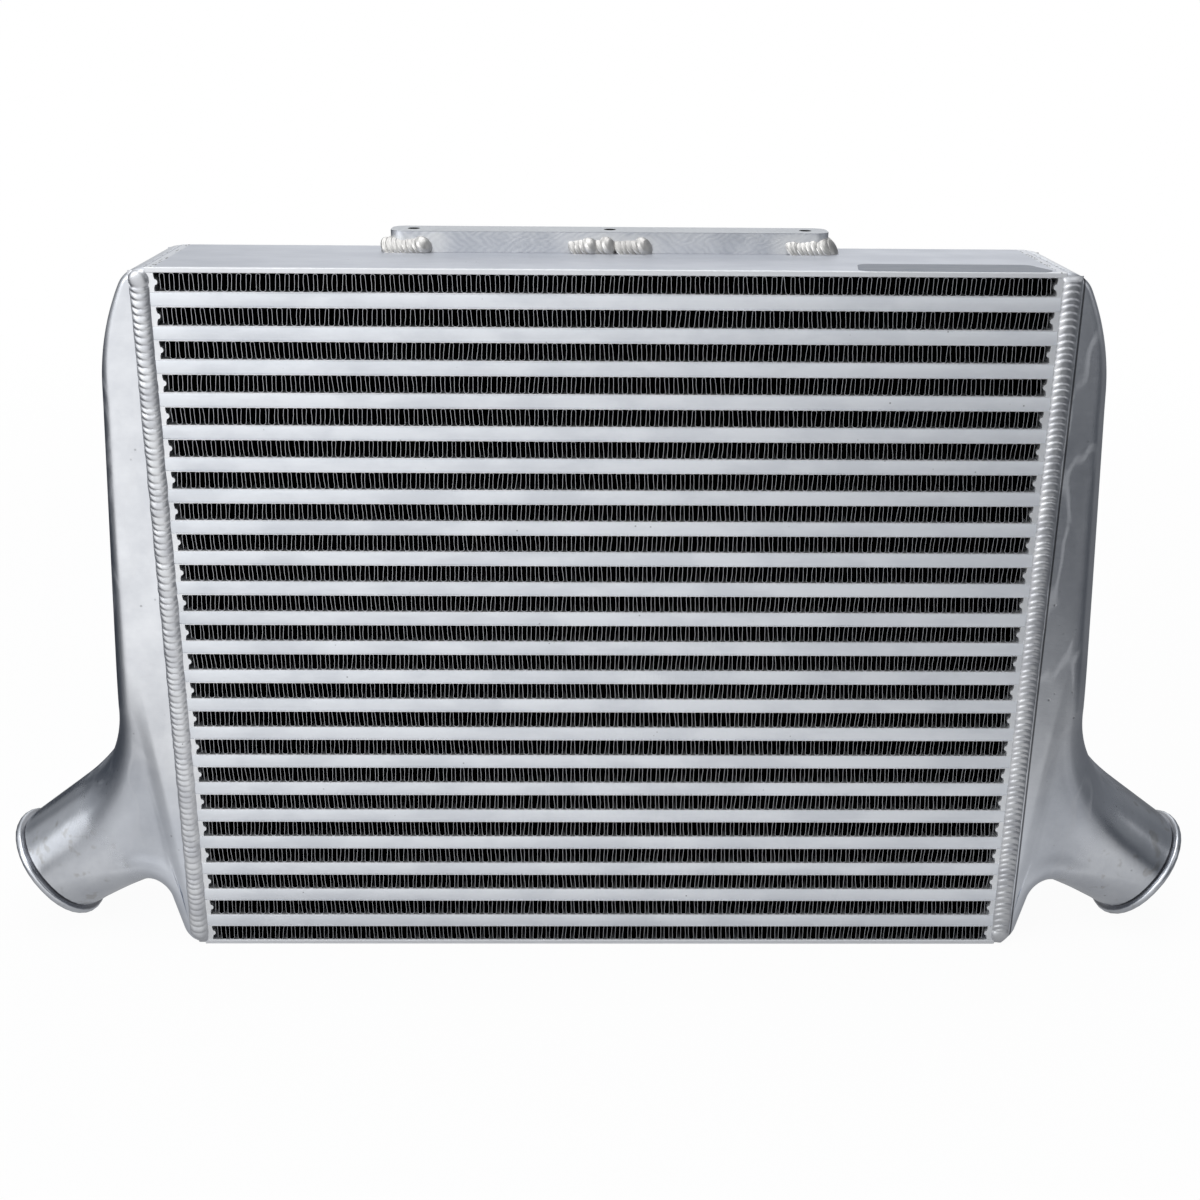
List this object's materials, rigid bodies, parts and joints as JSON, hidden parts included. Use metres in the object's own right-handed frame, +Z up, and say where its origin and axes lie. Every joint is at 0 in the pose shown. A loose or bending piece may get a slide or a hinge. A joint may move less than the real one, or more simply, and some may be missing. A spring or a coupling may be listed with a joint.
{
  "type": "intercooler",
  "caption": "Air-to-air bar-and-plate intercooler: rectangular finned core between two cast end tanks with angled round outlets, and a drilled mounting bar on top.",
  "frame": {"origin": "centre of the underside of the core and the two tanks, which lie in one plane", "axes": "+X to the right when the intercooler is seen from its front, from tank to tank; +Y from front to rear, along the cooling air; +Z up, towards the mounting bar"},
  "size_m": [0.7496, 0.0948, 0.435],
  "materials": {
    "core": "brazed bars and plates, matt with light stains",
    "fins": "thin brazed strip, matt",
    "turbulators": "thin brazed strip, matt",
    "tanks": "sand-cast skin, hand-brushed to a satin",
    "bar": "milled, with fine tool marks",
    "welds": "bright rippled weld metal with dull edges"
  },
  "bodies": {
    "root": {"bottom_side_plate": "core", "top_side_plate": "core", "tube_plates": "core", "front_tube_bars": "core", "rear_tube_bars": "core", "left_side_bars": "core", "right_side_bars": "core", "outer_fin_01": "fins", "outer_fin_02": "fins", "outer_fin_03": "fins", "outer_fin_04": "fins", "outer_fin_05": "fins", "outer_fin_06": "fins", "outer_fin_07": "fins", "outer_fin_08": "fins", "outer_fin_09": "fins", "outer_fin_10": "fins", "outer_fin_11": "fins", "outer_fin_12": "fins", "outer_fin_13": "fins", "outer_fin_14": "fins", "outer_fin_15": "fins", "outer_fin_16": "fins", "outer_fin_17": "fins", "outer_fin_18": "fins", "outer_fin_19": "fins", "outer_fin_20": "fins", "outer_fin_21": "fins", "outer_fin_22": "fins", "outer_fin_23": "fins", "turbulator_01": "turbulators", "turbulator_02": "turbulators", "turbulator_03": "turbulators", "turbulator_04": "turbulators", "turbulator_05": "turbulators", "turbulator_06": "turbulators", "turbulator_07": "turbulators", "turbulator_08": "turbulators", "turbulator_09": "turbulators", "turbulator_10": "turbulators", "turbulator_11": "turbulators", "turbulator_12": "turbulators", "turbulator_13": "turbulators", "turbulator_14": "turbulators", "turbulator_15": "turbulators", "turbulator_16": "turbulators", "turbulator_17": "turbulators", "turbulator_18": "turbulators", "turbulator_19": "turbulators", "turbulator_20": "turbulators", "turbulator_21": "turbulators", "turbulator_22": "turbulators", "right_end_tank": "tanks", "left_end_tank": "tanks", "mounting_bar": "bar", "right_tank_weld": "welds", "left_tank_weld": "welds", "mounting_bar_welds": "welds"}
  },
  "joints": []
}
